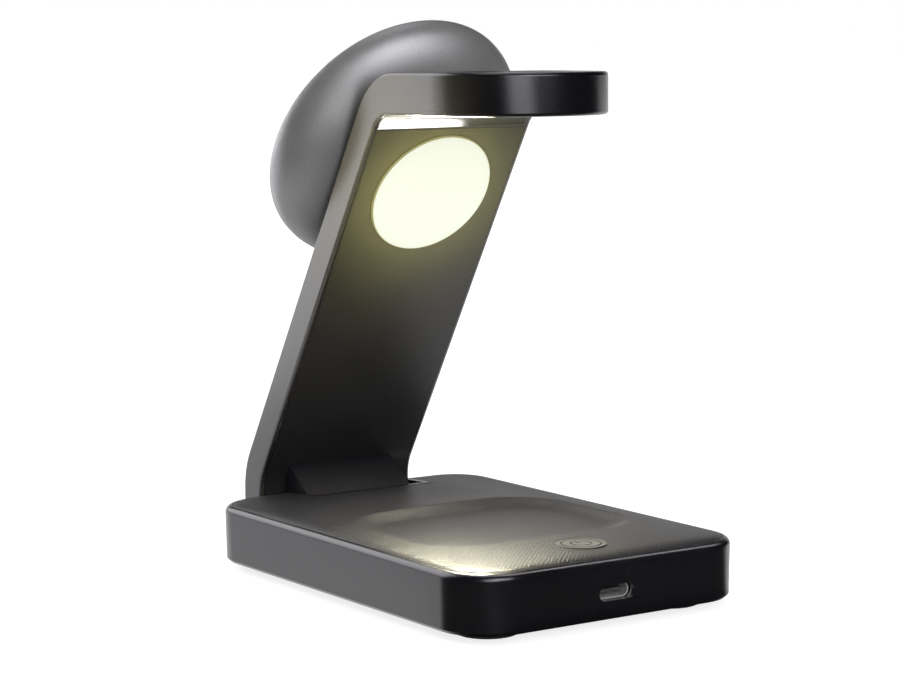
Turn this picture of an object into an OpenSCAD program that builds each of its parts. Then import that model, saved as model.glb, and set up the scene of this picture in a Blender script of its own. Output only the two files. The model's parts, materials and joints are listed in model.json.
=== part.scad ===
// Desk charger for a phone, a watch and an earbud case, with a night lamp.
// The base lies on the table, the arm leans over it and folds forward on a
// friction hinge. X runs across the base, Y along it, Z up from the table.
// The cable inlet is at -Y and the hinge at +Y.

/* [Base] */
// Width of the base across X
base_w = 76; // [70:0.5:90]
// Length of the base along Y
base_l = 111.4; // [108:0.2:125]
// Height of the moulded housing, without the feet
base_h = 13.2; // [13:0.1:14.4]
// Corner radius of the base in plan
base_r = 12.1; // [8:0.1:16]
// Radius of the rim between wall and top
rim_r = 1.6; // [1.2:0.1:2.2]
// Chamfer at the bottom edge of the wall
sole_chamfer = 0.7; // [0.3:0.1:1.2]
// Taper of the wall, how much narrower the bottom is on each side
wall_taper = 0.24; // [0:0.02:0.5]
// Wall thickness of the housing
base_wall = 2.2; // [1.8:0.1:2.6]
// Thickness of the deck under the mat
deck_t = 1.4; // [1.3:0.1:1.6]
// Thickness of the bottom plate
bottom_t = 2; // [1.8:0.1:2.4]
// How deep the bottom plate sits inside the wall
bottom_recess = 0.2; // [0.1:0.1:0.5]
// Half width of each corner screw boss
boss_r = 2.6; // [2.4:0.1:3]
// Thickness of the steel weight
ballast_t = 3; // [2:0.1:4]
// Free room between the steel weight and the things around it
ballast_gap = 0.8; // [0.5:0.1:2]

/* [Mat] */
// How far the mat's edge lies inside the housing's outline
mat_inset = 1.65; // [1.2:0.05:2.2]
// Depth of the pocket for the mat, below the rim's top
mat_seat = 1.2; // [1.1:0.1:1.4]
// Height of the mat's crown over the rim's top
mat_crown = 1.5; // [1:0.1:1.8]
// How deep the mat's edge lies below the rim's top
mat_sink = 0.08; // [0.02:0.02:0.2]
// Width of the earbud dish across X
dish_w = 59.5; // [50:0.5:62]
// Length of the earbud dish along Y
dish_l = 46.5; // [40:0.5:48]
// Gap between the button's bezel and the dish
dish_gap = 4.25; // [3.5:0.05:8]
// Corner radius of the dish
dish_r = 15; // [10:1:18]
// Depth of the dish below the mat's crown
dish_depth = 1.7; // [1:0.1:1.9]
// Width of the soft slope around the dish
dish_slope = 6; // [4:0.5:8]

/* [Feet and screws] */
// Radius of a rubber foot
foot_r = 7; // [5:0.1:7.4]
// Height of a foot below the housing
foot_h = 2; // [1.4:0.1:2.4]
// Depth of a foot's recess in the bottom plate
foot_seat = 0.4; // [0.2:0.1:0.6]
// Distance of a foot's middle from the base's side
foot_in_x = 13.2; // [12:0.1:13.5]
// Distance of a foot's middle from the base's end
foot_in_y = 13.3; // [12.2:0.1:13.6]
// Radius of the screw shank
screw_r = 1.2; // [1:0.05:1.4]
// Radius of the screw head
screw_head_r = 2.2; // [2:0.1:2.4]
// Height of the screw head
screw_head_h = 1; // [0.8:0.1:1.1]
// Length of the screw under its head
screw_l = 6.2; // [5:0.1:6.4]

/* [Button] */
// Distance of the button's middle from the front end
button_in = 12.9; // [12.2:0.1:13.4]
// Outer radius of the bezel ring
bezel_r = 5.6; // [5.2:0.1:6]
// Width of the bezel ring
bezel_w = 0.95; // [0.8:0.05:1.2]
// Gap between the cap and the bezel
button_gap = 0.15; // [0.1:0.05:0.2]
// How far the circuit board reaches past the button
board_run = 24; // [20:1:28]
// Travel of the button
button_travel = 0.4; // [0.3:0.05:0.5]
// Depth of the engraved power sign
sign_depth = 0.25; // [0.15:0.05:0.3]

/* [Cable inlet] */
// Width of the opening in the wall
port_w = 9.5; // [9.3:0.1:10.5]
// Height of the opening in the wall
port_h = 3.4; // [3.35:0.05:3.8]
// Height of the opening's middle over the housing's sole
port_z = 5.85; // [5.7:0.05:6.2]
// Width of the metal shell
shell_w = 8.94; // [8.9:0.02:9]
// Height of the metal shell
shell_h = 3.2; // [3.1:0.02:3.26]
// Length of the metal shell
shell_l = 7.3; // [6.5:0.1:8]
// Wall of the metal shell
shell_t = 0.3; // [0.2:0.05:0.35]
// How far the shell's mouth lies behind the wall's face
shell_in = 2; // [1.2:0.1:2.2]

/* [Hinge] */
// Distance of the hinge axis from the base's rear end
hinge_in = 6.7; // [6.2:0.1:7]
// Height of the hinge axis over the housing's sole
hinge_z = 9; // [8.8:0.1:9.2]
// Radius of the knuckle around the axis
knuckle_r = 4.9; // [4.6:0.05:5]
// Width of the knuckle
knuckle_w = 29.4; // [26:0.2:32]
// Gap on each side between the knuckle and the notch
notch_gap = 1; // [0.5:0.1:1.5]
// Gap in front of the knuckle
notch_front_gap = 1.8; // [1:0.1:2.4]
// Slope of the knuckle's upper face
ramp_angle = 33.9; // [30:0.1:38]
// Radius of the hinge pin
pin_r = 1.5; // [1.2:0.05:1.6]
// Running clearance of the pin in its bearings
pin_gap = 0.06; // [0.03:0.01:0.09]
// Thickness of each bearing bracket
bracket_t = 3.5; // [3:0.1:3.8]
// Thickness of the disc springs on each side
spring_t = 0.9; // [0.6:0.1:1.1]
// Thickness of each end collar
collar_t = 1.2; // [1:0.1:1.4]

/* [Arm] */
// Width of the arm and the shelf
arm_w = 43.8; // [40:0.1:48]
// Thickness of the arm
arm_t = 8; // [7.6:0.1:9]
// Lean of the leg from upright
arm_lean = 31.1; // [26:0.1:36]
// Gap between the foot and the base's rear face
foot_gap = 2.25; // [1.8:0.05:3]
// Height of the foot's lower end over the table
arm_low = 3.6; // [3:0.1:4.6]
// Height over the table where the foot starts to bend
bend_start = 15.6; // [15.2:0.1:17]
// Inner radius of the bend between foot and leg
bend_r = 10.5; // [8:0.5:14]
// Straight length of the leg
leg_l = 99.1; // [90:0.1:106]
// Rounding along the arm's edges
edge_r = 0.8; // [0.5:0.1:1.1]
// Wall thickness of the arm's outer face
arm_wall = 1.8; // [1.5:0.1:2.2]
// Width of the shell's rim beside the inner cover
arm_rim = 1.1; // [1:0.05:1.5]
// Thickness of the inner cover
cover_t = 1.6; // [1.3:0.1:2]
// Gap around the inner cover
cover_gap = 0.1; // [0.05:0.05:0.2]

/* [Watch shelf] */
// Thickness of the shelf
shelf_t = 9.5; // [8.6:0.1:11]
// Straight length of the shelf, from the bend to the middle of its round end
shelf_l = 16.7; // [15:0.1:24]
// Radius inside the corner under the shelf
corner_in = 6.5; // [4:0.1:8]
// Radius outside the corner over the shelf
corner_out = 16; // [12:0.1:18]
// Radius of the charging pad
pad_r = 14; // [12:0.1:16]
// Thickness of the charging pad
pad_t = 1.2; // [1:0.1:1.6]

/* [Lamp] */
// Radius of the lamp's lens
lens_r = 15.75; // [12:0.05:16]
// Distance of the lamp's middle from the top of the leg
lamp_down = 18.3; // [18:0.1:28]
// How far the lens stands out of the inner face
lens_proud = 0.55; // [0.3:0.05:0.9]
// Number of light chips
led_count = 8; // [4:1:12]

/* [Phone puck] */
// Widest radius of the puck
puck_r = 32.8; // [29:0.1:34]
// Height of the dome from the arm to its widest circle
dome_h = 11.4; // [10.5:0.1:13]
// Radius of the flat spot where the dome sits on the arm
dome_foot_r = 9; // [8:0.1:11]
// Rounding between the widest circle and the face
puck_edge = 0.8; // [0.6:0.1:1.2]
// Distance of the puck's middle from the top of the leg
puck_down = 16.2; // [15.6:0.1:26]
// Wall thickness of the dome
dome_wall = 1.8; // [1.4:0.1:2]
// Thickness of the charging face
face_t = 1.6; // [1.2:0.1:1.8]
// Radius of the nut's thread under its flange
nut_r = 5; // [4:0.1:6]
// Free room between the magnet ring and the shell
magnet_edge = 4.7; // [3.8:0.1:6]
// Width of the magnet ring
magnet_w = 4; // [3:0.1:5]
// Number of magnets in the ring
magnet_count = 16; // [12:1:18]

/* [Hidden] */
eps = 0.01;
// Heights in the base, counted from the table
sole_z = foot_h;
rim_z = sole_z + base_h;
mat_z = rim_z - mat_seat;
crown_z = rim_z + mat_crown;
deck_low = mat_z - deck_t;
plate_low = sole_z + bottom_recess;
plate_top = plate_low + bottom_t;
cavity_w = base_w - 2 * (base_wall + wall_taper);
cavity_l = base_l - 2 * (base_wall + wall_taper);
cavity_r = base_r - base_wall - wall_taper;
dish_z = crown_z - dish_depth;
head_seat = plate_low + foot_seat + screw_head_h;
// Hinge places
hinge_y = base_l / 2 - hinge_in;
axis_z = sole_z + hinge_z;
notch_w = knuckle_w + 2 * notch_gap;
notch_y = hinge_y - knuckle_r - notch_front_gap;
notch_z = axis_z - knuckle_r - 0.7;
notch_lip = 1.3;
bracket_x = notch_w / 2 + base_wall;
bracket_y = 4.1;
flange_t = 1.6;
spring_r = pin_r + 0.6;
collar_r = pin_r + 0.7;
pin_half = bracket_x + bracket_t + 0.1 + spring_t + collar_t;
hinge_room = axis_z + collar_r + 0.15;
// Feet and corner screws, kept clear of the hinge
foot_x = max(base_w / 2 - foot_in_x, bracket_x + bracket_t + boss_r + 0.4);
foot_y = base_l / 2 - foot_in_y;
foot_spots = [[foot_x, foot_y], [-foot_x, foot_y], [foot_x, -foot_y], [-foot_x, -foot_y]];
// Button and board places
button_y = -base_l / 2 + button_in;
dish_y = button_y + bezel_r + dish_gap + dish_l / 2;
cap_top = crown_z - 0.28;
cap_r = bezel_r - bezel_w - button_gap;
stop_t = 0.8;
bezel_low = deck_low - stop_t;
stop_top = bezel_low - 0.15;
board_t = 1.2;
inlet_z = sole_z + port_z;
board_top = inlet_z - shell_h / 2;
board_w = 2 * (foot_x - boss_r - 0.4);
board_end = button_y + board_run;
switch_gap = 0.1;
plunger_top = stop_top - stop_t - 0.2 - button_travel - switch_gap;
// Arm places: the path runs up the foot, around the bend and along the leg
foot_face = base_l / 2 + foot_gap;
pocket_w = arm_w - 2 * arm_rim;
leg_top_y = foot_face - bend_r * (1 - cos(arm_lean)) - leg_l * sin(arm_lean);
leg_top_z = bend_start + bend_r * sin(arm_lean) + leg_l * cos(arm_lean);
// The corner under the shelf turns by what is left to the level
corner_turn = 90 - arm_lean;
corner_run = corner_in * tan(corner_turn / 2);
shelf_low = leg_top_z + corner_run * cos(arm_lean);
shelf_top = shelf_low + shelf_t;
corner_y = leg_top_y - corner_run * sin(arm_lean);
shelf_end_y = corner_y - corner_run - shelf_l;
// Outer arc over the shelf, tangent to the leg's outer face and the shelf's top
outer_cz = shelf_top - corner_out;
outer_cy = corner_y + (arm_t - corner_out) / cos(arm_lean) - (outer_cz - shelf_low) * tan(arm_lean);
pocket_d = arm_t - arm_wall;
plate_y = foot_face + cover_t + 1.8;
knuckle_plate = knuckle_w + 9;
led_z = pocket_d - 2.1;
coil_pocket = pad_t + 4;
magnet_r = pad_r * 3 / 7;
way_d = 3.8;
way_r = 1.2;
cover_end = leg_l - 0.6;
puck_h = dome_h + puck_edge;
face_r = puck_r - puck_edge - 0.3;
magnet_out = face_r - magnet_edge;
magnet_in = magnet_out - magnet_w;

// The middle of the whole charger along Y becomes the origin
middle_y = (foot_face + arm_t - base_l / 2) / 2;

module centred() {
    translate([0, -middle_y, 0]) children();
}

// Rectangle with round corners, in the plane
module rounded(w, l, r) {
    square([w - 2 * r, l], center = true);
    square([w, l - 2 * r], center = true);
    for (x = [-1, 1], y = [-1, 1])
        translate([x * (w / 2 - r), y * (l / 2 - r)]) circle(r = r, $fn = 48);
}

// Slot with round ends along X, its opening facing along Y
module slot_y(w, h, l) {
    translate([0, l / 2, 0]) cube([w - h, l, h], center = true);
    for (x = [-1, 1])
        translate([x * (w - h) / 2, 0, 0]) rotate([-90, 0, 0]) cylinder(r = h / 2, h = l, $fn = 48);
}

module ring(r_out, r_in, h) {
    difference() {
        cylinder(r = r_out, h = h, $fn = 72);
        translate([0, 0, -1]) cylinder(r = r_in, h = h + 2, $fn = 72);
    }
}

// Outer form of the housing: four turned corner posts, wrapped
module base_form() {
    post = base_r;
    low = base_r - wall_taper;
    hull()
        for (x = [-1, 1], y = [-1, 1])
            translate([x * (base_w / 2 - base_r), y * (base_l / 2 - base_r), sole_z])
                rotate_extrude($fn = 48)
                    polygon(concat(
                        [[0, 0], [low - sole_chamfer, 0], [low, sole_chamfer]],
                        [for (i = [0:6]) let (a = 15 * i)
                            [post - rim_r + rim_r * cos(a), base_h - rim_r + rim_r * sin(a)]],
                        [[0, base_h]]));
}

module foot_places() {
    for (p = foot_spots) translate([p[0], p[1], 0]) children();
}

module base_housing() {
    color([0.2, 0.2, 0.21]) {
        difference() {
            union() {
                difference() {
                    base_form();
                    // Pocket for the mat
                    translate([0, 0, mat_z]) linear_extrude(base_h)
                        rounded(base_w - 2 * mat_inset, base_l - 2 * mat_inset, base_r - mat_inset);
                    // Room inside
                    translate([0, 0, 0]) linear_extrude(deck_low)
                        rounded(cavity_w, cavity_l, cavity_r);
                }
                // Bosses for the corner screws, the rear ones end on the brackets
                for (p = foot_spots) {
                    low = p[1] > 0 ? plate_top + flange_t : plate_top;
                    translate([p[0], p[1], low]) cylinder(r = boss_r, h = deck_low - low + eps, $fn = 36);
                }
                // Walls and floor around the notch
                translate([-notch_w / 2 - base_wall + 0.3, notch_y - base_wall, plate_top + 0.05])
                    cube([notch_w + 2 * base_wall - 0.6, base_l / 2 - 1 - notch_y + base_wall,
                        deck_low - plate_top]);
                // Raised lip that frames the notch through the mat
                intersection() {
                    translate([-notch_w / 2 - notch_lip, notch_y - notch_lip, mat_z - 1])
                        cube([notch_w + 2 * notch_lip, base_l, 9]);
                    mat_form();
                }
                // Ribs that stiffen the deck
                for (x = [-1, 1])
                    translate([x * (cavity_w / 2 - 4.5) - 0.6, dish_y - dish_l / 2, deck_low - 4])
                        cube([1.2, dish_l, 4 + eps]);
            }
            translate([-notch_w / 2, notch_y, notch_z]) cube([notch_w, base_l, base_h * 2]);
            // Opening for the cable plug
            translate([0, -base_l / 2 - 1, inlet_z]) slot_y(port_w, port_h, base_wall + 4);
            // Hole for the button
            translate([0, button_y, deck_low - 1]) cylinder(r = bezel_r + 0.05, h = deck_t + 2, $fn = 72);
            // Holes for the hinge pin and the corner screws
            translate([-base_w / 2 + 8, hinge_y, axis_z]) rotate([0, 90, 0])
                cylinder(r = pin_r + 0.3, h = base_w - 16, $fn = 48);
            for (p = foot_spots)
                translate([p[0], p[1], plate_top - 1])
                    cylinder(r = screw_r + 0.02, h = deck_low - plate_top + 0.4, $fn = 36);
            // Room for the brackets, the springs and the collars
            for (x = [-1, 1])
                translate([x > 0 ? bracket_x - 0.1 : -pin_half - 0.3, hinge_y - bracket_y - 0.3,
                    deck_low - 1])
                    cube([pin_half - bracket_x + 0.4, 2 * bracket_y + 0.6, hinge_room - deck_low + 1]);
        }
    }
}

module base_bottom() {
    gap = 0.15;
    color([0.13, 0.13, 0.14]) difference() {
        union() {
            translate([0, 0, plate_low]) linear_extrude(bottom_t)
                rounded(cavity_w - 2 * gap, cavity_l - 2 * gap, cavity_r - gap);
            // Posts that carry the circuit board
            for (x = [-1, 1], y = [button_y, board_end])
                translate([x * (board_w / 2 - 2), y - 3, plate_top - eps])
                    cylinder(r = 2, h = board_top - board_t - plate_top + eps, $fn = 36);
        }
        foot_places() {
            translate([0, 0, plate_low - 1]) cylinder(r = foot_r + 0.1, h = foot_seat + 1, $fn = 72);
            translate([0, 0, plate_low])
                cylinder(r = screw_head_r + 0.15, h = head_seat - plate_low, $fn = 48);
            translate([0, 0, plate_low]) cylinder(r = screw_r + 0.15, h = bottom_t + 1, $fn = 36);
        }
    }
}

// Mat: pillow with a rolled edge and a crown, each level [distance from the edge, share of the crown]
module mat_form() {
    w = base_w - 2 * mat_inset - 0.2;
    l = base_l - 2 * mat_inset - 0.2;
    r = base_r - mat_inset - 0.1;
    levels = [[0, 0], [0.3, 0.14], [0.9, 0.27], [2, 0.4], [3.6, 0.52], [6, 0.64], [10, 0.76], [16, 0.88],
        [24, 0.97], [30, 1]];
    hull()
        for (s = levels)
            translate([0, 0, mat_z]) linear_extrude(mat_seat - mat_sink + s[1] * (mat_crown + mat_sink))
                rounded(w - 2 * s[0], l - 2 * s[0], max(r - s[0], 2));
}

// Dish: nested outlines give the slope its soft lower end
module dish_form() {
    steps = [[0, 1], [0.5, 0.4], [0.8, 0.1], [1, 0]];
    hull()
        for (s = steps)
            translate([0, dish_y, dish_z + dish_depth * s[1]]) linear_extrude(s[1] == 1 ? 3 : 0.02)
                rounded(dish_w - 2 * dish_slope * s[0], dish_l - 2 * dish_slope * s[0],
                    dish_r - dish_slope * s[0] * 0.9);
}

module top_mat() {
    lip = notch_lip + 0.1;
    color([0.3, 0.3, 0.31]) difference() {
        mat_form();
        dish_form();
        translate([-notch_w / 2 - lip, notch_y - lip, mat_z - 1]) cube([notch_w + 2 * lip, base_l, 9]);
        translate([0, button_y, mat_z - 1]) cylinder(r = bezel_r + 0.05, h = 9, $fn = 72);
    }
}

module foot_pads() {
    color([0.06, 0.06, 0.06]) foot_places()
        rotate_extrude($fn = 72)
            polygon([[0, 0], [foot_r - 0.5, 0], [foot_r - 0.15, 0.15], [foot_r, 0.5],
                [foot_r, plate_low + foot_seat], [0, plate_low + foot_seat]]);
}

module base_screws() {
    color([0.6, 0.6, 0.62]) foot_places()
        difference() {
            union() {
                translate([0, 0, head_seat - screw_head_h])
                    cylinder(r = screw_head_r, h = screw_head_h, $fn = 48);
                translate([0, 0, head_seat - eps]) cylinder(r = screw_r, h = screw_l, $fn = 36);
            }
            for (a = [0, 90])
                translate([0, 0, head_seat - screw_head_h]) rotate([0, 0, a])
                    cube([2.4, 0.5, 1], center = true);
        }
}

module ballast_plate() {
    y0 = board_end + ballast_gap;
    y1 = foot_y - boss_r - ballast_gap;
    color([0.5, 0.5, 0.5]) translate([0, (y0 + y1) / 2, plate_top])
        linear_extrude(ballast_t) rounded(cavity_w - 12, y1 - y0, 3);
}

module main_board() {
    y0 = -base_l / 2 + base_wall + 1;
    color([0.05, 0.3, 0.15]) translate([-board_w / 2, y0, board_top - board_t])
        cube([board_w, board_end - y0, board_t]);
}

module usb_shell() {
    color([0.75, 0.75, 0.77]) translate([0, -base_l / 2 + shell_in, inlet_z])
        difference() {
            slot_y(shell_w, shell_h, shell_l);
            translate([0, -1, 0]) slot_y(shell_w - 2 * shell_t, shell_h - 2 * shell_t, shell_l + 2);
        }
}

module usb_tongue() {
    color([0.4, 0.4, 0.41]) translate([0, -base_l / 2 + shell_in, inlet_z]) {
        translate([0, (0.8 + shell_l) / 2, 0]) cube([6.7, shell_l - 0.8, 0.7], center = true);
        translate([0, shell_l - 1.5, 0])
            slot_y(shell_w - 2 * shell_t - 0.1, shell_h - 2 * shell_t - 0.1, 1.4);
    }
}

module base_coil() {
    color([0.72, 0.42, 0.2]) translate([0, dish_y, deck_low - 0.9])
        ring(dish_l / 2 - 2, dish_l / 5, 0.9);
}

module base_ferrite() {
    color([0.15, 0.15, 0.16]) translate([0, dish_y, deck_low - 1.7])
        cylinder(r = dish_l / 2, h = 0.8, $fn = 72);
}

module button_bezel() {
    color([0.55, 0.55, 0.56]) translate([0, button_y, 0]) difference() {
        union() {
            translate([0, 0, bezel_low]) cylinder(r = bezel_r, h = cap_top - bezel_low, $fn = 72);
            translate([0, 0, bezel_low]) cylinder(r = bezel_r + 1.2, h = deck_low - bezel_low, $fn = 72);
        }
        translate([0, 0, bezel_low - 1]) cylinder(r = bezel_r - bezel_w, h = 12, $fn = 72);
    }
}

module power_button() {
    stroke = 0.42;
    sign_r = 2.25;
    color([0.5, 0.5, 0.51]) translate([0, button_y, 0]) difference() {
        union() {
            translate([0, 0, stop_top - stop_t])
                cylinder(r = cap_r, h = cap_top - stop_top + stop_t, $fn = 72);
            translate([0, 0, stop_top - stop_t]) cylinder(r = bezel_r - 0.2, h = stop_t, $fn = 72);
            translate([0, 0, plunger_top + button_travel + switch_gap]) cylinder(r = 1.2, h = 1, $fn = 36);
        }
        // Power sign: an open ring with a bar in the gap
        translate([0, 0, cap_top - sign_depth]) {
            difference() {
                ring(sign_r + stroke / 2, sign_r - stroke / 2, 1);
                translate([-0.9, 0, -1]) cube([1.8, 4, 4]);
            }
            translate([-stroke / 2, 0.3, 0]) cube([stroke, 2.6, 1]);
        }
    }
}

module button_switch() {
    body = plunger_top - 0.6 - board_top;
    color([0.1, 0.1, 0.1]) translate([0, button_y, board_top]) {
        translate([-3, -3, 0]) cube([6, 6, body]);
        translate([0, 0, body - eps]) cylinder(r = 1.6, h = 0.6 + eps, $fn = 36);
    }
}

module hinge_brackets() {
    top = hinge_room - 0.15;
    color([0.6, 0.61, 0.63]) for (x = [-1, 1]) {
        x0 = x > 0 ? bracket_x : -bracket_x - bracket_t;
        difference() {
            translate([x0, hinge_y - bracket_y, plate_top])
                cube([bracket_t, 2 * bracket_y, top - plate_top]);
            translate([x0 - 1, hinge_y, axis_z]) rotate([0, 90, 0])
                cylinder(r = pin_r + pin_gap, h = bracket_t + 2, $fn = 48);
        }
        difference() {
            union() {
                translate([x > 0 ? bracket_x + 1 : -foot_x, foot_y - boss_r, plate_top])
                    cube([foot_x - bracket_x - 1, hinge_y - foot_y + boss_r, flange_t]);
                translate([x * foot_x, foot_y, plate_top]) cylinder(r = boss_r, h = flange_t, $fn = 48);
            }
            translate([x * foot_x, foot_y, plate_top - 1]) cylinder(r = screw_r + 0.15, h = 4, $fn = 36);
        }
    }
}

// Height of the knuckle's upper face at a place along Y
function ramp_z(y) =
    axis_z + knuckle_r * cos(ramp_angle) + (y - hinge_y + knuckle_r * sin(ramp_angle)) * tan(ramp_angle);

// Wedge with the round hinge end, its upper face tangent to the round end
module hinge_knuckle() {
    tangent_y = hinge_y - knuckle_r * sin(ramp_angle);
    inner_y = foot_face + cover_t;
    low_z = axis_z - knuckle_r;
    color([0.17, 0.17, 0.18]) difference() {
        union() {
            translate([-knuckle_w / 2, hinge_y, axis_z]) rotate([0, 90, 0])
                cylinder(r = knuckle_r, h = knuckle_w, $fn = 72);
            // Web from the round end into the foot, in side view
            translate([-knuckle_w / 2, 0, 0]) rotate([90, 0, 90]) linear_extrude(knuckle_w)
                polygon([[hinge_y, axis_z], [tangent_y, ramp_z(tangent_y)], [inner_y, ramp_z(inner_y)],
                    [inner_y, bend_start], [plate_y + 1, bend_start], [plate_y + 1, low_z + 0.6],
                    [hinge_y, low_z]]);
            // Plate behind the inner cover, screwed to the back of the foot
            translate([-knuckle_plate / 2, plate_y, low_z + 0.6])
                cube([knuckle_plate, foot_face + pocket_d - plate_y, bend_start - low_z - 0.6]);
        }
        translate([-knuckle_w, hinge_y, axis_z]) rotate([0, 90, 0])
            cylinder(r = pin_r + 0.02, h = 2 * knuckle_w, $fn = 48);
        knuckle_screw_places() cylinder(r = screw_r + 0.05, h = 20, $fn = 36);
    }
}

module knuckle_screw_places() {
    for (x = [-1, 1])
        translate([x * (knuckle_w / 2 + 2.3), plate_y, axis_z]) rotate([-90, 0, 0]) children();
}

module hinge_pin() {
    color([0.7, 0.7, 0.72]) translate([-pin_half, hinge_y, axis_z]) rotate([0, 90, 0])
        cylinder(r = pin_r, h = 2 * pin_half, $fn = 48);
}

// Ring on the hinge pin, mirrored to both sides
module pin_rings(start, r, t) {
    for (x = [-1, 1])
        translate([x > 0 ? start : -start - t, hinge_y, axis_z]) rotate([0, 90, 0])
            difference() {
                cylinder(r = r, h = t, $fn = 48);
                translate([0, 0, -1]) cylinder(r = pin_r + 0.02, h = t + 2, $fn = 48);
            }
}

module hinge_springs() {
    color([0.65, 0.66, 0.68]) pin_rings(bracket_x + bracket_t + 0.1, spring_r, spring_t);
}

module hinge_collars() {
    color([0.55, 0.56, 0.58]) pin_rings(pin_half - collar_t, collar_r, collar_t);
}

module knuckle_screws() {
    color([0.6, 0.6, 0.62]) knuckle_screw_places() {
        translate([0, 0, -1.3]) cylinder(r = 1.9, h = 1.3, $fn = 36);
        translate([0, 0, -eps]) cylinder(r = screw_r, h = foot_face + arm_t - plate_y - 0.9, $fn = 36);
    }
}

// Side view of a line that follows the arm at depth d behind the inner face
function arm_line(d, low, run) =
    let (r = bend_r + d, cy = foot_face - bend_r)
    concat([[foot_face + d, low]],
        [for (i = [0:12]) let (a = arm_lean * i / 12) [cy + r * cos(a), bend_start + r * sin(a)]],
        [[cy + r * cos(arm_lean) - run * sin(arm_lean),
            bend_start + r * sin(arm_lean) + run * cos(arm_lean)]]);

function backwards(v) = [for (i = [len(v) - 1:-1:0]) v[i]];

// Strip of the arm between two depths, as wide as w
module strip(w, d0, d1, low, run) {
    translate([-w / 2, 0, 0]) rotate([90, 0, 90]) linear_extrude(w)
        polygon(concat(arm_line(d1, low, run), backwards(arm_line(d0, low, run))));
}

// Frame at the leg's lower end, with Z up along the leg and Y out of its back
module leg_frame() {
    translate([0, foot_face - bend_r * (1 - cos(arm_lean)), bend_start + bend_r * sin(arm_lean)])
        rotate([arm_lean, 0, 0]) children();
}

// Frame at the leg's upper end
module leg_top_frame() {
    leg_frame() translate([0, 0, leg_l]) children();
}

// Frame on a round thing on the leg, with Z out of the leg's back
module puck_frame(down) {
    leg_top_frame() translate([0, 0, -down]) rotate([-90, 0, 0]) children();
}

// Side view of the arm from the bend to the shelf's end, at a depth d under its inner face
function inner_path(d) =
    let (cy = leg_top_y - corner_in * cos(arm_lean), cz = leg_top_z - corner_in * sin(arm_lean))
    concat([for (i = [0:12]) let (a = arm_lean * i / 12)
            [foot_face - bend_r + (bend_r + d) * cos(a), bend_start + (bend_r + d) * sin(a)]],
        [for (i = [0:8]) let (a = arm_lean + corner_turn * i / 8)
            [cy + (corner_in + d) * cos(a), cz + (corner_in + d) * sin(a)]],
        [[shelf_end_y, shelf_low + d]]);

// The same at a depth d under its outer face
function outer_path(d) =
    let (r = bend_r + arm_t - d)
    concat([for (i = [0:12]) let (a = arm_lean * i / 12)
            [foot_face - bend_r + r * cos(a), bend_start + r * sin(a)]],
        [for (i = [0:8]) let (a = arm_lean + corner_turn * i / 8)
            [outer_cy + (corner_out - d) * cos(a), outer_cz + (corner_out - d) * sin(a)]],
        [[shelf_end_y, shelf_top - d]]);

// Closed loop round the arm's edge at one layer of the edge's rounding, foot corner first
function arm_loop(inset, y_foot, path) =
    let (half = arm_w / 2 - inset, cr = edge_r + 0.4,
        z_end = path[len(path) - 1][1],
        right = concat([for (i = [4:-1:0]) let (t = 22.5 * i)
                [arm_w / 2 - cr + (cr - inset) * cos(t), y_foot, arm_low + cr - (cr - inset) * sin(t)]],
            [for (p = path) [half, p[0], p[1]]]),
        round_end = [for (i = [1:35]) [half * cos(5 * i), shelf_end_y - half * sin(5 * i), z_end]])
    concat(right, round_end, [for (p = backwards(right)) [-p[0], p[1], p[2]]]);

// Outer form of the arm: a bent plate with rounded edges and a half round end, as one closed surface
module arm_form() {
    steps = [0, 22.5, 45, 67.5, 90];
    e = edge_r;
    loops = concat(
        [for (b = steps) let (d = e * (1 - cos(b)))
            arm_loop(e * (1 - sin(b)), foot_face + d, inner_path(d))],
        [for (b = backwards(steps)) let (d = e * (1 - cos(b)))
            arm_loop(e * (1 - sin(b)), foot_face + arm_t - d, outer_path(d))]);
    m = len(loops[0]);
    top = (len(loops) - 1) * m;
    mid = (m - 1) / 2;
    polyhedron([for (l = loops) each l], concat(
        [for (k = [0:len(loops) - 2]) for (i = [0:m - 1])
            [k * m + i, k * m + (i + 1) % m, (k + 1) * m + (i + 1) % m, (k + 1) * m + i]],
        [for (i = [0:mid - 2]) [m - 1 - i, m - 2 - i, i + 1, i]],
        [[mid + 1, mid, mid - 1]],
        [for (i = [0:mid - 2]) [top + i, top + i + 1, top + m - 2 - i, top + m - 1 - i]],
        [[top + mid - 1, top + mid, top + mid + 1]]));
}

module arm_shell() {
    color([0.2, 0.2, 0.21]) difference() {
        arm_form();
        // Room inside, open on the inner face
        strip(pocket_w, -1, pocket_d, arm_low + arm_rim, cover_end);
        // Round pocket for the watch coil, open at the top, and its wire way
        translate([0, shelf_end_y, shelf_top - coil_pocket]) cylinder(r = pad_r + 0.1, h = 7, $fn = 96);
        translate([0, shelf_end_y, shelf_top - way_d]) rotate([-90, 0, 0])
            cylinder(r = way_r, h = corner_y - shelf_end_y + 1, $fn = 36);
        translate([0, corner_y + 0.2, shelf_top - way_d]) rotate([180 + arm_lean, 0, 0])
            cylinder(r = way_r, h = 14, $fn = 36);
        // Hole for the puck's nut
        puck_frame(puck_down) translate([0, 0, pocket_d - 1]) cylinder(r = nut_r + 0.05, h = 4, $fn = 72);
        // Blind holes for the knuckle's screws
        knuckle_screw_places()
            cylinder(r = screw_r + 0.05, h = foot_face + arm_t - plate_y - 0.7, $fn = 36);
    }
}

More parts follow.
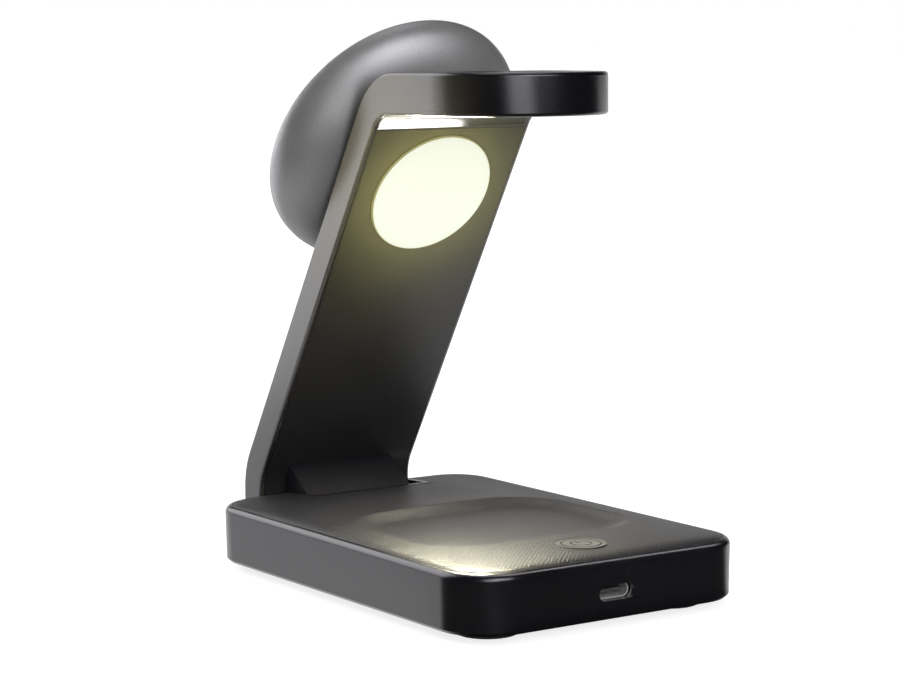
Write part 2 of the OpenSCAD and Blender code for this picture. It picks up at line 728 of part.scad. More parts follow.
module arm_cover() {
    w = pocket_w - 2 * cover_gap;
    near = foot_face - 6;
    far = foot_face + 6;
    color([0.12, 0.12, 0.13]) difference() {
        strip(w, 0, cover_t, arm_low + arm_rim + cover_gap, cover_end - cover_gap);
        // Way for the knuckle, closed above by its sloping face
        translate([-knuckle_w / 2 - 0.05, 0, 0]) rotate([90, 0, 90]) linear_extrude(knuckle_w + 0.1)
            polygon([[near, 0], [far, 0], [far, ramp_z(far) + 0.05], [near, ramp_z(near) + 0.05]]);
        // Hole for the lens
        puck_frame(lamp_down) translate([0, 0, -3]) cylinder(r = lens_r + 0.05, h = 8, $fn = 96);
    }
}

module lamp_lens() {
    color([0.98, 1, 0.9]) puck_frame(lamp_down) translate([0, 0, -lens_proud])
        rotate_extrude($fn = 96)
            polygon([[0, 0], [lens_r - 0.35, 0], [lens_r - 0.1, 0.1], [lens_r, 0.35],
                [lens_r, lens_proud + cover_t], [0, lens_proud + cover_t]]);
}

module lamp_reflector() {
    h = led_z - cover_t;
    color([0.95, 0.95, 0.95]) puck_frame(lamp_down) translate([0, 0, cover_t])
        rotate_extrude($fn = 72)
            polygon([[lens_r - 1, 0], [lens_r, 0], [lens_r, h], [lens_r - 3.2, h]]);
}

module lamp_board() {
    color([0.9, 0.9, 0.88]) puck_frame(lamp_down) translate([0, 0, led_z])
        cylinder(r = lens_r - 0.2, h = 1, $fn = 72);
}

module lamp_leds() {
    w = lens_r / 5.6;
    color([1, 0.95, 0.6]) puck_frame(lamp_down)
        for (i = [0:led_count - 1]) rotate([0, 0, i * 360 / led_count])
            translate([(lens_r - w) / 2, -w / 2, led_z - w / 4]) cube([w, w, w / 4]);
}

module watch_pad() {
    color([0.15, 0.15, 0.16]) translate([0, shelf_end_y, shelf_top - pad_t])
        cylinder(r = pad_r, h = pad_t, $fn = 96);
}

module watch_coil() {
    color([0.72, 0.42, 0.2]) translate([0, shelf_end_y, shelf_top - coil_pocket])
        ring(pad_r - 1, magnet_r + 0.2, coil_pocket - pad_t);
}

module watch_magnet() {
    color([0.7, 0.7, 0.72]) translate([0, shelf_end_y, shelf_top - coil_pocket])
        cylinder(r = magnet_r, h = coil_pocket - pad_t, $fn = 60);
}

// Outline of the bowl, a quarter ellipse from the flat spot to the widest circle, moved inwards by inset
function dome_points(inset, steps) =
    [for (i = [0:steps]) let (a = 90 * i / steps, u = dome_h * sin(a), v = (puck_r - dome_foot_r) * cos(a),
            k = inset / sqrt(u * u + v * v))
        [dome_foot_r + (puck_r - dome_foot_r) * sin(a) - k * u, dome_h * (1 - cos(a)) + k * v]];

module puck_shell() {
    color([0.42, 0.42, 0.44]) puck_frame(puck_down) translate([0, 0, arm_t])
        difference() {
            rotate_extrude($fn = 120)
                polygon(concat([[0, 0]], dome_points(0, 20),
                    [for (i = [1:4]) let (a = 22.5 * i)
                        [puck_r - puck_edge + puck_edge * cos(a), dome_h + puck_edge * sin(a)]],
                    [[0, puck_h]]));
            rotate_extrude($fn = 90)
                polygon(concat([[0, dome_wall], [dome_foot_r - 0.4, dome_wall]],
                    [for (p = dome_points(dome_wall, 12))
                        if (p[1] > dome_wall && p[1] < puck_h - face_t - 0.3 && p[0] < face_r - 1.3) p],
                    [[face_r - 1.2, puck_h - face_t], [0, puck_h - face_t]]));
            translate([0, 0, puck_h - face_t - eps]) cylinder(r = face_r, h = face_t + 1, $fn = 96);
            translate([0, 0, -1]) cylinder(r = nut_r + 0.05, h = 5, $fn = 72);
        }
}

module puck_face() {
    color([0.25, 0.25, 0.26]) puck_frame(puck_down) translate([0, 0, arm_t + puck_h - face_t])
        cylinder(r = face_r - 0.1, h = face_t, $fn = 96);
}

module puck_magnets() {
    t = 1.8;
    step = 360 / (magnet_count + 1);
    color([0.7, 0.7, 0.72]) puck_frame(puck_down) translate([0, 0, arm_t + puck_h - face_t - t])
        for (i = [0:magnet_count - 1]) rotate([0, 0, (i + 0.5) * step + 90 - (magnet_count * step) / 2])
            translate([magnet_in, -0.8 * magnet_w, 0]) cube([magnet_w, 1.6 * magnet_w, t]);
}

module puck_coil() {
    color([0.72, 0.42, 0.2]) puck_frame(puck_down) translate([0, 0, arm_t + puck_h - face_t - 1])
        ring(magnet_in - 1.5, magnet_in * 0.44, 1);
}

module puck_ferrite() {
    color([0.15, 0.15, 0.16]) puck_frame(puck_down) translate([0, 0, arm_t + puck_h - face_t - 1.8])
        cylinder(r = magnet_in - 1, h = 0.8, $fn = 72);
}

// Flanged nut through both walls, with a hole for the wires
module puck_nut() {
    color([0.6, 0.61, 0.63]) puck_frame(puck_down) difference() {
        union() {
            translate([0, 0, pocket_d - 1]) cylinder(r = nut_r + 1.5, h = 1, $fn = 72);
            translate([0, 0, pocket_d - eps]) cylinder(r = nut_r, h = arm_wall + dome_wall + 1, $fn = 72);
            translate([0, 0, arm_t + dome_wall]) cylinder(r = nut_r + 1.5, h = 1.2, $fn = 72);
        }
        translate([0, 0, pocket_d - 2]) cylinder(r = 2, h = 12, $fn = 36);
    }
}

centred() base_housing();
centred() base_bottom();
centred() top_mat();
centred() foot_pads();
centred() base_screws();
centred() ballast_plate();
centred() main_board();
centred() usb_shell();
centred() usb_tongue();
centred() base_coil();
centred() base_ferrite();
centred() button_bezel();
centred() button_switch();
centred() hinge_brackets();
centred() power_button();
centred() hinge_knuckle();
centred() hinge_pin();
centred() hinge_springs();
centred() hinge_collars();
centred() knuckle_screws();
centred() arm_shell();
centred() arm_cover();
centred() lamp_lens();
centred() lamp_reflector();
centred() lamp_board();
centred() lamp_leds();
centred() watch_pad();
centred() watch_coil();
centred() watch_magnet();
centred() puck_shell();
centred() puck_face();
centred() puck_magnets();
centred() puck_coil();
centred() puck_ferrite();
centred() puck_nut();
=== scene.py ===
import json
import math

import bpy
import bmesh
from mathutils import Matrix, Vector


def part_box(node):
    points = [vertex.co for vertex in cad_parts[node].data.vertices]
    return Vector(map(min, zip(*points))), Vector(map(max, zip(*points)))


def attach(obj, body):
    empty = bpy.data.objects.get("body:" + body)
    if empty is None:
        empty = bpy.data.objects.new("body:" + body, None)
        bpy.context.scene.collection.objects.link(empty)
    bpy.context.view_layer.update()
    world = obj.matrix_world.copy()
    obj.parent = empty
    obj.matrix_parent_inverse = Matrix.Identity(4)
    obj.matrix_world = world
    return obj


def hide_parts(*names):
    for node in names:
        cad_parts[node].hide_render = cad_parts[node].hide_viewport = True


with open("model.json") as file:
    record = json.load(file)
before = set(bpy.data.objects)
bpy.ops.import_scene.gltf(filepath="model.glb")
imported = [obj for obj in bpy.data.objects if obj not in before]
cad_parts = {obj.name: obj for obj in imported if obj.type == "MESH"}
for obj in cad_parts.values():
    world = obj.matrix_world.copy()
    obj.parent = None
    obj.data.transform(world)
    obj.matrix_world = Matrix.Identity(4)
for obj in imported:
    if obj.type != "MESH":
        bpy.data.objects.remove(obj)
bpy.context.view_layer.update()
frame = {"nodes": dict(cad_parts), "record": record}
nodes = frame["nodes"]
slot_of = {s["node"]: s["material_slot"] for s in frame["record"]["subparts"]}

MM = 0.001

# The photograph, and the camera fitted to it in pixels, degrees and millimetres
PHOTO_W, PHOTO_H = 900, 675
FOCAL_PX = 2566.534
CENTRE_PX = (446.478, 274.840)
YAW, PITCH, ROLL = 34.2988, 5.2062, -0.3735
CAMERA_AT = (-351.74, -506.774, 129.868)
FIT_SCALE = 0.95
FOOT_H = 2
SENSOR_W = 36

# The frame's origin lies this far behind the middle of the base, in millimetres
REAR = 5.125

# Mat, dish, button hole and hinge notch, in millimetres from the middle of the base
MAT_W, MAT_L, MAT_R = 72.5, 107.9, 10.35
MAT_LOW, MAT_EDGE, MAT_CROWN = 14.0, 15.12, 1.58
DISH_W, DISH_L, DISH_R, DISH_Y = 59.5, 46.5, 15, -9.7
DISH_FLOOR, DISH_DEPTH, DISH_SLOPE = 15.0, 1.7, 6
BUTTON_Y, BEZEL_HOLE_R = -42.8, 5.65
NOTCH_HALF, NOTCH_Y = 17.1, (40.9, 60)
RIB_PITCH, WIRE_PITCH = 0.0008, 0.0006

# A wave texture of scale WAVE / pitch has bands one pitch apart
WAVE = 0.3142

# The leg leans by this angle; OUT points from its inner face, UP along it
LEAN = math.radians(31.1)
OUT = Vector((0, -math.cos(LEAN), -math.sin(LEAN)))
UP = Vector((0, -math.sin(LEAN), math.cos(LEAN)))

# Corner under the shelf: top of the leg's inner face, radius, half width and gap, in millimetres
COVE_TOP = Vector((0, 0.127, 105.880))
COVE_R, COVE_HALF, COVE_GAP = 6.5, 20.9, 0.04

# Ring of painted shadow round the button's cap, from the cap's flat to its edge, in millimetres
GAP_SHADOW_R = (4.12, 4.5)

# Room light on matt surfaces; gloss sees a bright backdrop this way, and this grey elsewhere
AMBIENT = 0.35
BACK_WAY = (0.087, 0.98, 0.17)
DARK_SIDE = 0.02

# Gloss sees the floor turn white behind these two lines, each with where it starts and is full, in metres
FRONT_EDGE = (-0.06, -0.05)
CORNER_WAY, CORNER_EDGE = (0.743, 0.669, 0), (-0.0628, -0.0588)

# Where the studio lights point, and the lights for one piece, in metres
AIM, AIM_PIECE = (0, 0, 0.05), (-0.02, 0.02, 0.08)

# Places of the lamp's lights: out from the lens, along the leg and sideways, in metres
LENS_FACE, LENS_SIZE = 0.0013, 0.031
HALO_OUT, SIDE_OUT, SIDE_X, SIDE_Z = 0.017, 0.012, 0.052, 0.012
GLINT_OUT, GLINT_UP, GLINT_X, GLINT_SIZE = 0.007, 0.005, -0.008, 0.036


def put(name, data):
    obj = bpy.data.objects.new(name, data)
    bpy.context.scene.collection.objects.link(obj)
    return obj


def to_mesh(bm, name):
    me = bpy.data.meshes.new(name)
    bm.to_mesh(me)
    bm.free()
    return me


def between(a, b, t):
    return tuple(p + (q - p) * t for p, q in zip(a, b))


def make_camera():
    yaw, pitch, roll = (math.radians(v) for v in (YAW, PITCH, ROLL))
    forward = Vector((math.sin(yaw) * math.cos(pitch), math.cos(yaw) * math.cos(pitch), -math.sin(pitch)))
    level = Vector((math.cos(yaw), -math.sin(yaw), 0))
    above = level.cross(forward)
    right = math.cos(roll) * level + math.sin(roll) * above
    up = -math.sin(roll) * level + math.cos(roll) * above
    data = bpy.data.cameras.new("camera")
    data.sensor_fit = "HORIZONTAL"
    data.sensor_width = SENSOR_W
    data.lens = SENSOR_W * FOCAL_PX / PHOTO_W
    data.shift_x = (PHOTO_W / 2 - CENTRE_PX[0]) / PHOTO_W
    data.shift_y = (CENTRE_PX[1] - PHOTO_H / 2) / PHOTO_W
    data.clip_start, data.clip_end = 0.05, 50
    cam = put("camera", data)
    x, y, z = (v * FIT_SCALE for v in CAMERA_AT)
    turn = Matrix((right, up, -forward)).transposed().to_4x4()
    cam.matrix_world = Matrix.Translation(Vector((x, y - REAR, z + FOOT_H)) * MM) @ turn
    bpy.context.scene.camera = cam


class Tree:
    """A node tree, with short calls to add nodes to it."""

    def __init__(self, tree):
        self.tree = tree

    def add(self, kind, inputs=None, **settings):
        node = self.tree.nodes.new(kind)
        for key, value in settings.items():
            setattr(node, key, value)
        for key, value in (inputs or {}).items():
            self.feed(node.inputs[key], value)
        return node

    def feed(self, socket, value):
        if isinstance(value, bpy.types.NodeSocket):
            self.tree.links.new(value, socket)
        else:
            socket.default_value = value

    def math(self, op, a, b):
        return self.add("ShaderNodeMath", {0: a, 1: b}, operation=op).outputs["Value"]

    def dot(self, vector, way):
        return self.add("ShaderNodeVectorMath", {0: vector, 1: way}, operation="DOT_PRODUCT").outputs["Value"]

    def spread(self, value, low, high, start=0.3, end=0.7, **settings):
        return self.add("ShaderNodeMapRange", {"Value": value, "From Min": start, "From Max": end,
                                               "To Min": low, "To Max": high}, **settings).outputs["Result"]

    def ease(self, value, low, high, start, end):
        return self.spread(value, low, high, start, end, interpolation_type="SMOOTHSTEP")


class Surface(Tree):
    """A material's node tree, with its textures and its shader."""

    def __init__(self, name):
        self.mat = bpy.data.materials.new(name)
        self.mat.use_nodes = True
        super().__init__(self.mat.node_tree)
        self.shader = self.tree.nodes["Principled BSDF"]
        self.place = self.add("ShaderNodeTexCoord").outputs["Object"]

    def noise(self, scale, detail=2.0, rough=0.5, vector=None):
        return self.add("ShaderNodeTexNoise", {"Vector": vector or self.place, "Scale": scale,
                                               "Detail": detail, "Roughness": rough}).outputs["Fac"]

    def sum(self, a, share_a, b, share_b):
        return self.math("ADD", self.math("MULTIPLY", a, share_a), self.math("MULTIPLY", b, share_b))

    def ramp(self, value, stops):
        node = self.add("ShaderNodeValToRGB", {"Fac": value})
        els = node.color_ramp.elements
        while len(els) < len(stops):
            els.new(0.5)
        for e, (at, colour) in zip(els, stops):
            e.position, e.color = at, (*colour, 1)
        return node.outputs["Color"]

    def mix(self, factor, a, b, blend="MIX"):
        return self.add("ShaderNodeMix", {"Factor": factor, "A": a, "B": (*b, 1)}, data_type="RGBA",
                        blend_type=blend).outputs[2]

    def bump(self, height, strength, distance):
        return self.add("ShaderNodeBump", {"Height": height, "Strength": strength,
                                           "Distance": distance}).outputs["Normal"]

    def to(self, socket, value):
        self.feed(self.shader.inputs[socket], value)


def shade(colour, k):
    return tuple(min(1.0, c * k) for c in colour)


# Moulded plastic: spark eroded grain, faint flow marks, uneven sheen
def plastic(name, colour, rough, grain=1900, depth=0.12, specular=0.5, flake=0.0):
    n = Surface(name)
    fine = n.noise(grain, 3, 0.6)
    flow = n.noise(38, 4, 0.55)
    both = n.sum(fine, 0.5, flow, 0.5)
    n.to("Base Color", n.ramp(both, [(0.32, shade(colour, 0.82)), (0.7, shade(colour, 1.2))]))
    n.to("Roughness", n.spread(flow, rough - 0.04, rough + 0.05))
    n.to("Normal", n.bump(fine, depth, 0.00025))
    n.to("Specular IOR Level", specular)
    n.to("Specular Tint", (0.965, 0.945, 1.0, 1))
    n.to("Metallic", flake)
    return n.mat


# Soft mat: fine diagonal twill with grain
def twill(name, colour):
    n = Surface(name)
    turned = n.add("ShaderNodeMapping", {"Vector": n.place, "Rotation": (0, 0, math.radians(45))})
    ribs = n.add("ShaderNodeTexWave", {"Vector": turned.outputs["Vector"], "Scale": WAVE / RIB_PITCH,
                                       "Distortion": 0.12, "Detail": 1.0, "Detail Scale": 2.0}).outputs["Fac"]
    height = n.sum(ribs, 0.17, n.noise(2600, 3, 0.65), 1.1)
    n.to("Base Color", n.ramp(height, [(0.1, shade(colour, 0.7)), (1.0, shade(colour, 1.3))]))
    n.to("Roughness", n.spread(n.noise(60, 3), 0.34, 0.4))
    n.to("Normal", n.bump(height, 0.4, 0.0003))
    n.to("Specular IOR Level", 0.38)
    return n.mat


def rubber(name, colour):
    n = Surface(name)
    fine = n.noise(1500, 4, 0.65)
    n.to("Base Color", n.ramp(fine, [(0.3, shade(colour, 0.75)), (0.75, shade(colour, 1.3))]))
    n.to("Roughness", n.spread(n.noise(150, 3), 0.7, 0.85))
    n.to("Normal", n.bump(fine, 0.25, 0.0003))
    n.to("Specular IOR Level", 0.3)
    return n.mat


# Metal with fine drawn lines
def metal(name, colour, rough):
    n = Surface(name)
    drawn = n.add("ShaderNodeMapping", {"Vector": n.place, "Scale": (1, 1, 12)}).outputs["Vector"]
    lines = n.noise(900, 4, 0.6, drawn)
    n.to("Base Color", n.ramp(lines, [(0.3, shade(colour, 0.85)), (0.7, shade(colour, 1.1))]))
    n.to("Metallic", 1.0)
    n.to("Roughness", n.spread(lines, rough - 0.05, rough + 0.1))
    n.to("Normal", n.bump(lines, 0.08, 0.0001))
    return n.mat


# Enamelled wire, wound in rings about an upright axis through the given point, with painted shade between the
# turns
def wire(name, colour, centre):
    n = Surface(name)
    moved = n.add("ShaderNodeMapping", {"Vector": n.place, "Location": tuple(-c for c in centre)})
    rings = n.add("ShaderNodeTexWave", {"Vector": moved.outputs["Vector"], "Scale": WAVE / WIRE_PITCH},
                  wave_type="RINGS", rings_direction="Z").outputs["Fac"]
    # painted shade: the wire is darkened in the troughs between the turns
    n.to("Base Color", n.ramp(rings, [(0.1, shade(colour, 0.35)), (0.6, colour)]))
    n.to("Metallic", 0.85)
    n.to("Roughness", n.spread(n.noise(300, 2), 0.28, 0.4))
    n.to("Normal", n.bump(rings, 0.6, 0.0003))
    return n.mat


# Circuit board: lacquer with a raised net of tracks
def board(name, colour):
    n = Surface(name)
    tracks = n.add("ShaderNodeTexBrick", {"Vector": n.place, "Scale": 420.0, "Mortar Size": 0.07,
                                          "Color1": (*colour, 1), "Color2": (*shade(colour, 1.15), 1),
                                          "Mortar": (*shade(colour, 2.0), 1)})
    n.to("Base Color", tracks.outputs["Color"])
    n.to("Roughness", n.spread(n.noise(250, 3), 0.3, 0.42))
    n.to("Normal", n.bump(tracks.outputs["Fac"], 0.2, 0.0001))
    return n.mat


# Lit diffuser: opal plastic that glows evenly, a little less at its edge, with a darker side wall
def lamp(name, colour, centre):
    n = Surface(name)
    near = n.add("ShaderNodeVectorMath", {0: n.place, 1: centre}, operation="DISTANCE").outputs["Value"]
    face = n.ramp(n.math("MULTIPLY", near, 50.0), [(0.6, (1, 1, 1)), (0.774, (0.96, 0.96, 0.96)),
                                                   (0.779, (0.42, 0.38, 0.2))])
    n.to("Base Color", n.mix(1.0, face, (0.5, 0.5, 0.46), "MULTIPLY"))
    n.to("Emission Color", n.mix(1.0, face, colour, "MULTIPLY"))
    n.to("Emission Strength", 0.66)
    n.to("Roughness", n.spread(n.noise(900, 2), 0.3, 0.4))
    n.to("Normal", n.bump(n.noise(1800, 2), 0.05, 0.0002))
    return n.mat


def make_materials():
    base_coil = sum(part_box("base_coil"), Vector()) / 2
    lens = sum(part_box("lamp_lens"), Vector()) / 2
    made = {
        "shell_plastic": (plastic, (0.0038, 0.0038, 0.006), 0.24, 3400, 0.07, 1.0),
        "cove": (plastic, (0.006, 0.006, 0.007), 0.2, 3400, 0.07, 0.28),
        "cover_plastic": (plastic, (0.011, 0.011, 0.014), 0.34, 3000, 0.12),
        "mat_rubber": (twill, (0.011, 0.011, 0.015)),
        "foot_rubber": (rubber, (0.03, 0.03, 0.03)),
        "bezel_plastic": (plastic, (0.055, 0.055, 0.058), 0.36, 2600, 0.05),
        "puck_plastic": (plastic, (0.17, 0.17, 0.174), 0.42, 2600, 0.06, 1.0, 0.45),
        "lens_plastic": (lamp, (0.948, 1.0, 0.807), lens),
        "tongue_plastic": (plastic, (0.07, 0.07, 0.073), 0.35, 2600, 0.04),
        "port_steel": (metal, (0.6, 0.6, 0.61), 0.55),
        "white_plastic": (plastic, (0.85, 0.85, 0.84), 0.4),
        "steel": (metal, (0.6, 0.61, 0.63), 0.28),
        "copper": (wire, (0.72, 0.42, 0.2), base_coil),
        "ferrite": (rubber, (0.1, 0.1, 0.11)),
        "board": (board, (0.03, 0.16, 0.07)),
        # painted shadow for the gap round the button's cap
        "groove": (rubber, (0.006, 0.006, 0.006)),
    }
    return {name: make(name, *looks) for name, (make, *looks) in made.items()}


def dress(obj, mat):
    obj.data.materials.clear()
    obj.data.materials.append(mat)


# Rounded faces shade smoothly, and edges sharper than the angle stay sharp
def smooth(obj, angle=28):
    for p in obj.data.polygons:
        p.use_smooth = True
    weld = obj.modifiers.new("weld", "WELD")
    weld.merge_threshold = 0.000002
    split = obj.modifiers.new("split", "EDGE_SPLIT")
    split.split_angle = math.radians(angle)
    split.use_edge_sharp = False
    even = obj.modifiers.new("normals", "WEIGHTED_NORMAL")
    even.keep_sharp, even.weight = True, 100


# Points of a rectangle with round corners, counted the same for any size
def loop(w, l, r):
    corners = ((1, -1, -90), (1, 1, 0), (-1, 1, 90), (-1, -1, 180))
    steps, short_run, long_run = 19, 30, 40

    def point(cx, cy, angle):
        a = math.radians(angle)
        return cx * (w / 2 - r) + r * math.cos(a), cy * (l / 2 - r) + r * math.sin(a)

    pts = []
    for (cx, cy, start), (nx, ny, _) in zip(corners, corners[1:] + corners[:1]):
        pts += [point(cx, cy, start + 90 * i / steps) for i in range(steps + 1)]
        a, b = pts[-1], point(nx, ny, start + 90)
        run = short_run if abs(b[0] - a[0]) > abs(b[1] - a[1]) else long_run
        pts += [between(a, b, i / run) for i in range(1, run)]
    return pts


# How far a point lies inside a rectangle with round corners
def inside(x, y, w, l, r):
    px, py = abs(x) - w / 2 + r, abs(y) - l / 2 + r
    return r - math.hypot(max(px, 0), max(py, 0)) - min(max(px, py), 0)


# Height of the mat: a rolled edge, a slight crown, and the dish let into it with a soft rim
def mat_height(x, y):
    roll = 1 - math.exp(-inside(x, y, MAT_W, MAT_L, MAT_R) / 1.1)
    bulge = (1 - abs(2 * x / MAT_W) ** 2.6) * (1 - abs(2 * y / MAT_L) ** 4)
    top = MAT_EDGE + MAT_CROWN * (0.45 * roll + 0.55 * max(bulge, 0))
    q = inside(x, y - DISH_Y, DISH_W, DISH_L, DISH_R)
    wall = max(0, 1 - q / DISH_SLOPE) ** 1.35 if q > 0 else 1 - q * 0.4
    floor = DISH_FLOOR + DISH_DEPTH * wall
    k = 0.1
    return -k * math.log(math.exp(-top / k) + math.exp(-floor / k))


# Rings of the mat from its lower edge to the middle of the dish
def mat_rings():
    flat = []
    for d in (0.12, 0.3, 0.55, 0.85, 1.2, 1.7, 2.3, 3):
        flat.append(loop(MAT_W - 2 * d, MAT_L - 2 * d, MAT_R - d))
    outer = flat[-1]
    rim = [(x, y + DISH_Y) for x, y in loop(DISH_W + 1, DISH_L + 1, DISH_R + 0.5)]
    for i in range(1, 37):
        flat.append([between(a, b, i / 36) for a, b in zip(outer, rim)])
    for q in (-0.25, 0, 0.25, 0.5, 0.8, 1.1, 1.5, 1.9, 2.3, 2.8, 3.4, 4, 4.7, 5.4, 6.1, 7):
        last = loop(DISH_W - 2 * q, DISH_L - 2 * q, DISH_R - q)
        flat.append([(x, y + DISH_Y) for x, y in last])
    for k in (0.8, 0.6, 0.4, 0.2, 0.08):
        flat.append([(x * k, y * k + DISH_Y) for x, y in last])
    side = loop(MAT_W, MAT_L, MAT_R)
    rings = [[(x, y, z) for x, y in side] for z in (MAT_LOW, MAT_EDGE)]
    return rings + [[(x, y, mat_height(x, y)) for x, y in ring] for ring in flat]


# Hole for the button's bezel and the way of the hinge
def cut_mat(skin):
    middle_z, tall = 0.015, 0.01
    bm = bmesh.new()
    bmesh.ops.create_cone(bm, cap_ends=True, segments=96, radius1=BEZEL_HOLE_R * MM, radius2=BEZEL_HOLE_R * MM,
                          depth=tall, matrix=Matrix.Translation((0, (BUTTON_Y - REAR) * MM, middle_z)))
    near, far = (y - REAR for y in NOTCH_Y)
    at = Matrix.Translation((0, (near + far) / 2 * MM, middle_z))
    size = Matrix.Diagonal((2 * NOTCH_HALF * MM, (far - near) * MM, tall, 1))
    bmesh.ops.create_cube(bm, size=1, matrix=at @ size)
    cutter = put("mat_cut", to_mesh(bm, "mat_cut"))
    cut = skin.modifiers.new("cut", "BOOLEAN")
    cut.object, cut.operation, cut.solver = cutter, "DIFFERENCE", "EXACT"
    graph = bpy.context.evaluated_depsgraph_get()
    done = bpy.data.meshes.new_from_object(skin.evaluated_get(graph))
    skin.modifiers.clear()
    skin.data = done
    bpy.data.objects.remove(cutter)


# The mat as one dense skin, so that its roll, crown and dish curve without facets
def make_mat(mat):
    bm = bmesh.new()
    made = [[bm.verts.new((x * MM, (y - REAR) * MM, z * MM)) for x, y, z in ring] for ring in mat_rings()]
    count = len(made[0])
    for a, b in zip(made, made[1:]):
        for i in range(count):
            j = (i + 1) % count
            bm.faces.new((a[i], a[j], b[j], b[i]))
    bm.faces.new(made[-1])
    bm.faces.new(list(reversed(made[0])))
    skin = put("mat_skin", to_mesh(bm, "mat_skin"))
    cut_mat(skin)
    dress(skin, mat)
    smooth(skin, 35)
    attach(skin, "base")
    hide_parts("top_mat")


def thicken(obj, thickness):
    thick = obj.modifiers.new("thick", "SOLIDIFY")
    thick.thickness, thick.offset = thickness, 0


# Smooth skin in the inner corner under the watch shelf
def make_cove(mat):
    across, turns = 40, 32
    middle = COVE_TOP + OUT * COVE_R
    reach = COVE_R - COVE_GAP
    path = [middle - OUT * reach - UP * 0.4]
    for i in range(turns + 1):
        a = (math.pi / 2 - LEAN) * i / turns
        path.append(middle - OUT * reach * math.cos(a) + UP * reach * math.sin(a))
    path.append(path[-1] + Vector((0, -1.2, 0)))
    bm = bmesh.new()
    rows = []
    for i in range(across + 1):
        x = COVE_HALF * (2 * i / across - 1)
        rows.append([bm.verts.new((x * MM, p.y * MM, p.z * MM)) for p in path])
    for a, b in zip(rows, rows[1:]):
        for i in range(len(path) - 1):
            bm.faces.new((a[i], b[i], b[i + 1], a[i + 1]))
    cove = put("arm_cove", to_mesh(bm, "arm_cove"))
    dress(cove, mat)
    for p in cove.data.polygons:
        p.use_smooth = True
    thicken(cove, 0.00003)
    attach(cove, "arm")
    return cove


# Painted shadow: a dark ring on the rim of the power button's cap, standing in for the shade in the gap round
# it
def make_painted_gap_shadow(mat):
    low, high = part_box("power_button")
    middle = (low + high) / 2
    thickness, count = 0.00002, 96
    bm = bmesh.new()
    pairs = []
    for i in range(count):
        a = 2 * math.pi * i / count
        pairs.append([bm.verts.new((middle.x + r * MM * math.cos(a), middle.y + r * MM * math.sin(a),
                                    high.z + thickness)) for r in GAP_SHADOW_R])
    for a, b in zip(pairs, pairs[1:] + pairs[:1]):
        bm.faces.new((a[0], a[1], b[1], b[0]))
    groove = put("button_gap_shadow", to_mesh(bm, "button_gap_shadow"))
    dress(groove, mat)
    thicken(groove, thickness)
    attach(groove, "button")


# Pale floor, white to the camera; gloss sees it white behind the object and dark in front of it
def make_floor():
    bm = bmesh.new()
    bmesh.ops.create_grid(bm, x_segments=1, y_segments=1, size=12)
    floor = put("floor", to_mesh(bm, "floor"))
    n = Surface("floor")
    ray = n.add("ShaderNodeLightPath").outputs
    along = n.add("ShaderNodeSeparateXYZ", {"Vector": n.place}).outputs["Y"]
    across = n.dot(n.place, CORNER_WAY)
    rear = n.math("MULTIPLY", n.ease(along, 0.0, 1.0, *FRONT_EDGE), n.ease(across, 0.0, 1.0, *CORNER_EDGE))
    away = n.add("ShaderNodeVectorMath", {0: n.place}, operation="LENGTH").outputs["Value"]
    white = n.ease(away, 0.8, 1.0, 0.12, 0.7)
    paper = n.ramp(n.noise(3), [(0.3, (0.49, 0.49, 0.49)), (0.7, (0.51, 0.51, 0.51))])
    n.to("Base Color", n.mix(ray["Is Glossy Ray"], paper, (DARK_SIDE, DARK_SIDE, DARK_SIDE)))
    n.to("Roughness", 0.9)
    n.to("Specular IOR Level", 0.0)
    n.to("Emission Color", (1, 1, 1, 1))
    n.to("Emission Strength", n.sum(ray["Is Camera Ray"], white, ray["Is Glossy Ray"], rear))
    dress(floor, n.mat)


# Room: white to the camera, plain to matt surfaces; gloss sees a bright band low behind the object
def make_world():
    world = bpy.data.worlds.new("world")
    bpy.context.scene.world = world
    world.use_nodes = True
    n = Tree(world.node_tree)
    ray = n.add("ShaderNodeLightPath").outputs
    way = n.add("ShaderNodeTexCoord").outputs["Generated"]
    behind = n.ease(n.dot(way, BACK_WAY), DARK_SIDE, 1.0, 0.5, 0.64)
    height = n.add("ShaderNodeSeparateXYZ", {"Vector": way}).outputs["Z"]
    band = n.math("MULTIPLY", behind, n.ease(height, 1.0, 0.06, 0.06, 0.32))
    lit = n.add("ShaderNodeMix", {"Factor": ray["Is Glossy Ray"], "A": AMBIENT, "B": band}).outputs["Result"]
    seen = n.add("ShaderNodeMix", {"Factor": ray["Is Camera Ray"], "A": lit, "B": 1.0}).outputs["Result"]
    back = n.tree.nodes["Background"].inputs
    n.feed(back["Color"], (1, 1, 1, 1))
    n.feed(back["Strength"], seen)


def receivers(name, *pieces):
    lit = bpy.data.collections.new(name)
    for piece in pieces:
        lit.objects.link(piece)
    return lit


def face(obj, way):
    obj.rotation_mode = "QUATERNION"
    obj.rotation_quaternion = way.to_track_quat("-Z", "Y")


def softbox(name, place, size, power, aim):
    data = bpy.data.lights.new(name, "AREA")
    data.shape = "RECTANGLE"
    data.size, data.size_y = size
    data.energy = power
    obj = put(name, data)
    obj.location = place
    face(obj, Vector(aim) - Vector(place))
    return obj


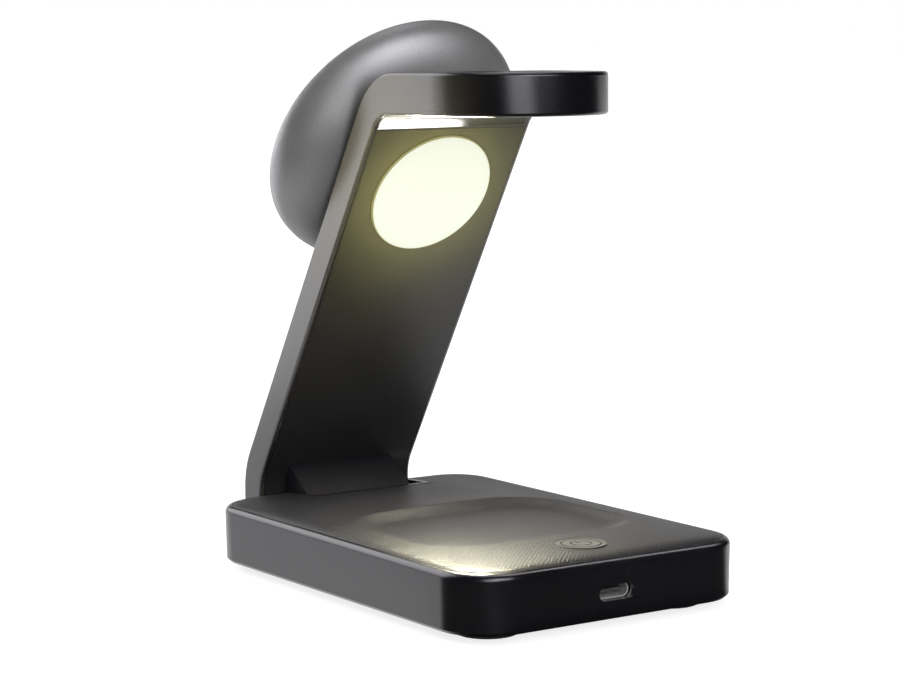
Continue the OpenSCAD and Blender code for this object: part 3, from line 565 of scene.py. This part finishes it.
# Studio lights for the whole object, then boxes whose reflection shows on one piece only
def make_lights():
    for name, place, size, power in (
            ("key", (-0.5, 1.0, 0.75), (1.5, 1.0), 11),
            ("top", (0.1, 0.1, 1.3), (0.8, 0.8), 3.2),
            ("front", (0.0, -1.1, 0.55), (0.7, 0.6), 3.8),
            ("strip", (-0.42, -1.02, 0.35), (0.55, 0.9), 3.5)):
        softbox(name, place, size, power, AIM)
    for name, place, size, power, piece in (
            ("puck_front", (0.15, -1.0, 0.5), (1.0, 0.8), 11, "puck_shell"),
            ("puck_low", (-0.065, -0.14, 0.03), (0.14, 0.12), 0.15, "puck_shell"),
            ("puck_floor", (-0.1, 0.13, 0.012), (0.2, 0.2), 0.2, "puck_shell"),
            ("puck_rim", (-0.36, 0.5, 0.05), (0.5, 0.5), 2.6, "puck_shell"),
            ("base_edge", (0.75, -0.14, 1.1), (0.3, 0.9), 3, "base_housing"),
            ("port", (-0.08, -0.3, 0.1), (0.1, 0.1), 0.6, "usb_shell"),
            ("arm_side", (-0.2, 0.3, 0.06), (0.45, 0.2), 0.28, "arm_shell")):
        lit = receivers(name, nodes[piece])
        box = softbox(name, place, size, power, AIM_PIECE)
        box.light_linking.receiver_collection = lit
        box.visible_camera = False
        box.visible_diffuse = name != "puck_rim"


def lamp_light(name, kind, place, size, power, colour, way=None, lit=None):
    data = bpy.data.lights.new(name, kind)
    data.energy, data.color = power, colour
    if kind == "AREA":
        data.shape, data.size = "DISK", size
    else:
        data.shadow_soft_size = size
    obj = put(name, data)
    obj.location = place
    obj.visible_camera = False
    if way:
        face(obj, way)
    if lit:
        obj.light_linking.receiver_collection = lit
    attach(obj, "arm")
    return obj


# Light that the lit lens throws on the mat, its glow on the plastic round it, and its reflection in the cove
def make_lamp_light(cove):
    centre = sum(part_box("lamp_lens"), Vector()) / 2
    glow = receivers("glow", nodes["arm_shell"], nodes["arm_cover"], cove)
    sides = receivers("sides", nodes["arm_shell"])
    shine = receivers("shine", cove)

    lamp_light("lamp_beam", "AREA", centre + OUT * LENS_FACE, LENS_SIZE, 0.42, (1.0, 0.94, 0.7), OUT)
    halo = lamp_light("lamp_halo", "AREA", centre + OUT * HALO_OUT, LENS_SIZE, 0.115, (1.0, 0.91, 0.24),
                      -OUT, glow)
    halo.visible_glossy = False
    for x in (-SIDE_X, SIDE_X):
        place = centre + OUT * SIDE_OUT + Vector((x, 0, SIDE_Z))
        side = lamp_light("lamp_side", "POINT", place, 0.01, 1.6, (1.0, 0.9, 0.36), None, sides)
        side.visible_glossy = False
    place = centre + OUT * GLINT_OUT + UP * GLINT_UP + Vector((GLINT_X, 0, 0))
    glint = lamp_light("lamp_glint", "AREA", place, GLINT_SIZE, 0.17, (1.0, 0.98, 0.9), -OUT, shine)
    glint.visible_diffuse = False


make_camera()
materials = make_materials()
for name, obj in nodes.items():
    dress(obj, materials[slot_of[name]])
    smooth(obj, 20 if name == "base_housing" else 28)
dress(nodes["usb_shell"], materials["port_steel"])
make_mat(materials["mat_rubber"])
# painted shadow ring on the button's cap
make_painted_gap_shadow(materials["groove"])
make_floor()
make_world()
make_lights()
make_lamp_light(make_cove(materials["cove"]))

bpy.context.scene.view_settings.view_transform = "Standard"
